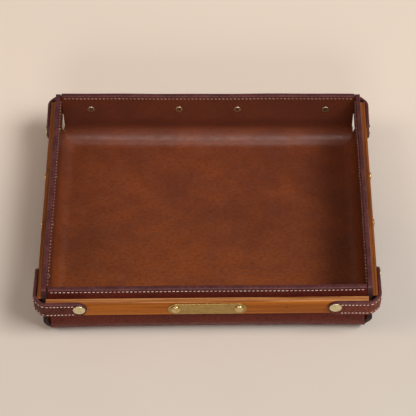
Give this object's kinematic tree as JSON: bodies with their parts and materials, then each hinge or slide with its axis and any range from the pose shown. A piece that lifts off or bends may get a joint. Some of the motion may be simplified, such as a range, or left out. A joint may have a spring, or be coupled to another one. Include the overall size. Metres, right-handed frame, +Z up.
{
  "type": "valet tray",
  "caption": "Rectangular leather valet tray with upright stitched walls, riveted wooden rails and leather corner straps.",
  "frame": {"origin": "centre of the underside that the tray rests on", "axes": "+Z up out of the open tray; +X to the right along the longer walls; -Y towards the front wall with the nameplate"},
  "size_m": [0.3552, 0.2878, 0.0762],
  "materials": {
    "outer_leather": "burgundy pebbled leather with burnished purple edges",
    "inner_leather": "smooth saddle-brown bridle leather, satin",
    "strap_leather": "burgundy-brown pebbled leather with burnished purple edges",
    "rail_wood": "honey-brown hardwood, oiled satin",
    "thread": "waxed cream thread",
    "plate_brass": "satin brass, bare",
    "rivet_brass": "polished brass"
  },
  "bodies": {
    "root": {"outer_leather": "outer_leather", "inner_leather": "inner_leather", "front_rail": "rail_wood", "right_rail": "rail_wood", "back_rail": "rail_wood", "left_rail": "rail_wood", "front_rim_thread": "thread", "right_rim_thread": "thread", "back_rim_thread": "thread", "left_rim_thread": "thread", "front_right_strap": "strap_leather", "front_left_strap": "strap_leather", "back_right_strap": "strap_leather", "back_left_strap": "strap_leather", "front_right_strap_thread": "thread", "front_left_strap_thread": "thread", "back_right_strap_thread": "thread", "back_left_strap_thread": "thread", "nameplate": "plate_brass", "nameplate_rivets": "rivet_brass", "strap_rivets": "rivet_brass", "rail_rivets": "rivet_brass"}
  },
  "joints": []
}
